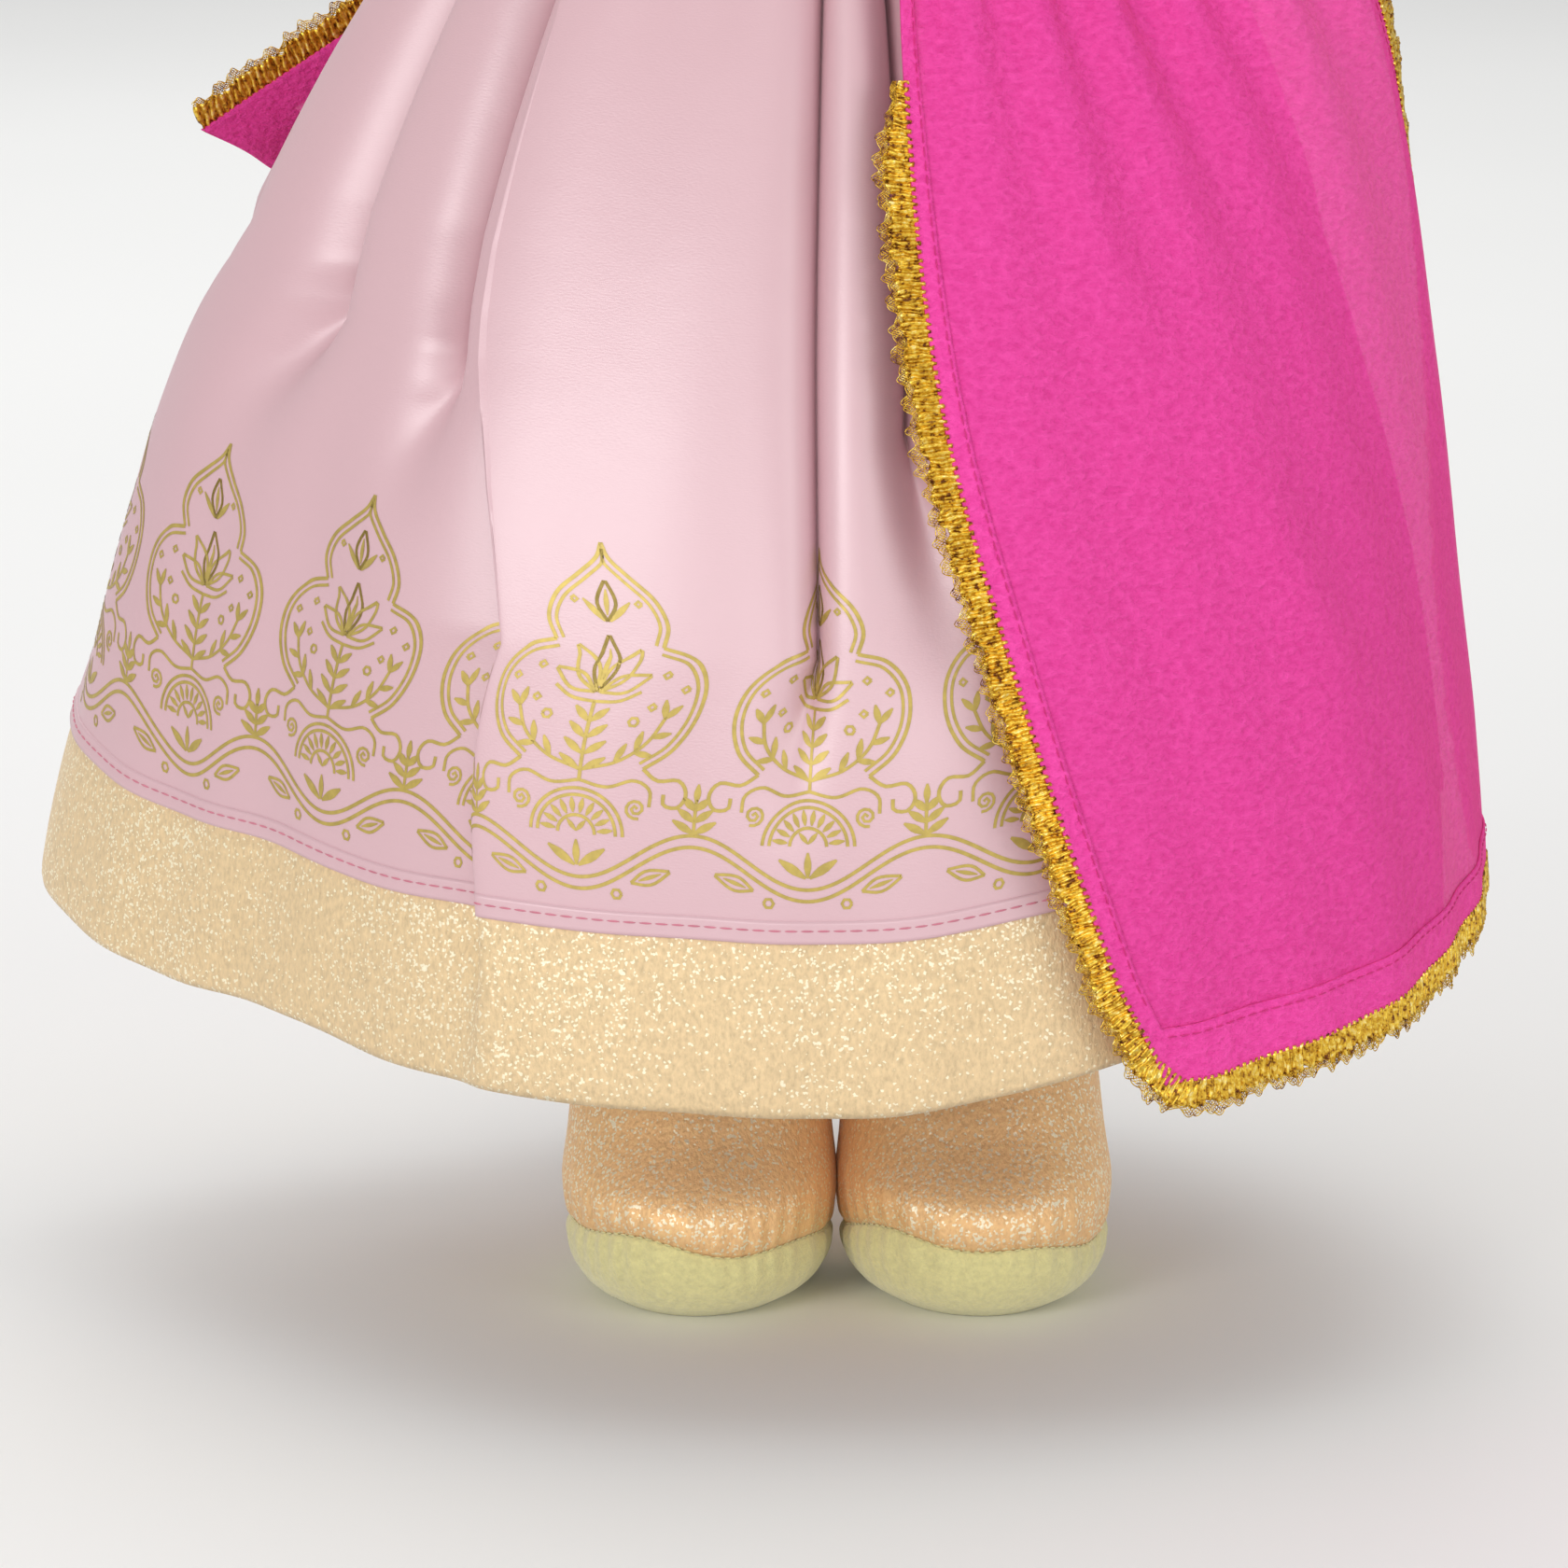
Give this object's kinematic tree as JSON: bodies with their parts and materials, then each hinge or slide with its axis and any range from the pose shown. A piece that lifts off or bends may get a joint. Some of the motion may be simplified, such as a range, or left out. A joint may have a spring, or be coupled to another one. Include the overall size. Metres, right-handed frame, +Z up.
{
  "type": "rajasthani kathputli puppet",
  "caption": "Stuffed cloth doll in Rajasthani dress: gathered gold-printed satin skirt, blouse, lace-edged gauze veil, jointed limbs and felt-soled feet.",
  "frame": {"origin": "centre of the bounding box at floor level, midway between the two feet", "axes": "+Z up from the soles to the crown, the doll faces -Y, the doll's own left is +X"},
  "size_m": [0.2686, 0.1863, 0.4493],
  "materials": {
    "skin_cloth": "brushed cotton, warm tan",
    "satin": "polyester satin, pale pink",
    "gold_shimmer_cloth": "crinkled shimmer crepe, pale gold",
    "pale_felt": "fleecy felt, pale yellow",
    "magenta_gauze": "sheer crepe, magenta",
    "gold_lace": "crimped metallic net",
    "dark_yarn": "wool yarn, near black",
    "gold_metal": "gilt, polished",
    "dark_thread": "stranded embroidery thread, dark brown",
    "red_thread": "stranded embroidery thread, red",
    "joint_plastic": "moulded, off-white",
    "dowel_wood": "bare softwood",
    "white_petals": "rolled cotton buds, cream",
    "pellet_fill": "cotton pouch of weighting pellets"
  },
  "bodies": {
    "torso": {"torso": "skin_cloth", "neck_dowel": "dowel_wood", "left_shoulder_washer": "joint_plastic", "right_shoulder_washer": "joint_plastic", "blouse": "satin", "blouse_hem_trim": "gold_shimmer_cloth", "blouse_neck_trim": "gold_lace", "waistband": "magenta_gauze", "skirt": "satin", "skirt_hem_band": "gold_shimmer_cloth", "necklace": "gold_metal", "necklace_pendant": "gold_metal", "left_hip_seam": "skin_cloth", "right_hip_seam": "skin_cloth", "veil_back": "magenta_gauze", "veil_back_upper_lace": "gold_lace", "veil_shoulder_pleats": "magenta_gauze", "veil_brooch": "gold_metal"},
    "head": {"head": "skin_cloth", "hair": "dark_yarn", "hair_bun": "dark_yarn", "bun_garland": "white_petals", "left_eye": "dark_thread", "right_eye": "dark_thread", "nose": "skin_cloth", "bindi": "red_thread", "mouth": "red_thread", "left_earring": "gold_metal", "right_earring": "gold_metal", "parting_chain": "gold_metal", "parting_pendant": "gold_metal"},
    "left_arm": {"left_arm": "skin_cloth", "left_sleeve": "satin", "left_sleeve_trim": "gold_shimmer_cloth", "left_bangle_upper": "gold_metal", "left_bangle_lower": "gold_metal", "left_shoulder_disc": "joint_plastic"},
    "right_arm": {"right_arm": "skin_cloth", "right_sleeve": "satin", "right_sleeve_trim": "gold_shimmer_cloth", "right_bangle_upper": "gold_metal", "right_bangle_lower": "gold_metal", "right_shoulder_disc": "joint_plastic"},
    "left_leg": {"left_leg": "skin_cloth", "left_bootee": "gold_shimmer_cloth", "left_sole": "pale_felt", "left_foot_pellets": "pellet_fill"},
    "right_leg": {"right_leg": "skin_cloth", "right_bootee": "gold_shimmer_cloth", "right_sole": "pale_felt", "right_foot_pellets": "pellet_fill"},
    "veil_front": {"veil_front": "magenta_gauze", "veil_front_side_lace": "gold_lace", "veil_front_outer_lace": "gold_lace", "veil_front_end_lace": "gold_lace"}
  },
  "joints": [
    {"name": "head_turn", "type": "hinge", "parent": "torso", "child": "head", "pos_m": [0, 0, 0.352], "axis": [0, 0, 1], "range_deg": [-50, 50]},
    {"name": "left_shoulder", "type": "hinge", "parent": "torso", "child": "left_arm", "pos_m": [0.054, 0, 0.322], "axis": [-1, 0, 0], "range_deg": [-50, 150]},
    {"name": "right_shoulder", "type": "hinge", "parent": "torso", "child": "right_arm", "pos_m": [-0.054, 0, 0.322], "axis": [-1, 0, 0], "range_deg": [-50, 150]},
    {"name": "left_hip", "type": "hinge", "parent": "torso", "child": "left_leg", "pos_m": [0.0225, 0, 0.186], "axis": [-1, 0, 0], "range_deg": [-18, 20]},
    {"name": "right_hip", "type": "hinge", "parent": "torso", "child": "right_leg", "pos_m": [-0.0225, 0, 0.186], "axis": [-1, 0, 0], "range_deg": [-18, 20]},
    {"name": "veil_lift", "type": "hinge", "parent": "torso", "child": "veil_front", "pos_m": [0.028, -0.024, 0.329], "axis": [-1, 0, 0], "range_deg": [0, 30]}
  ]
}
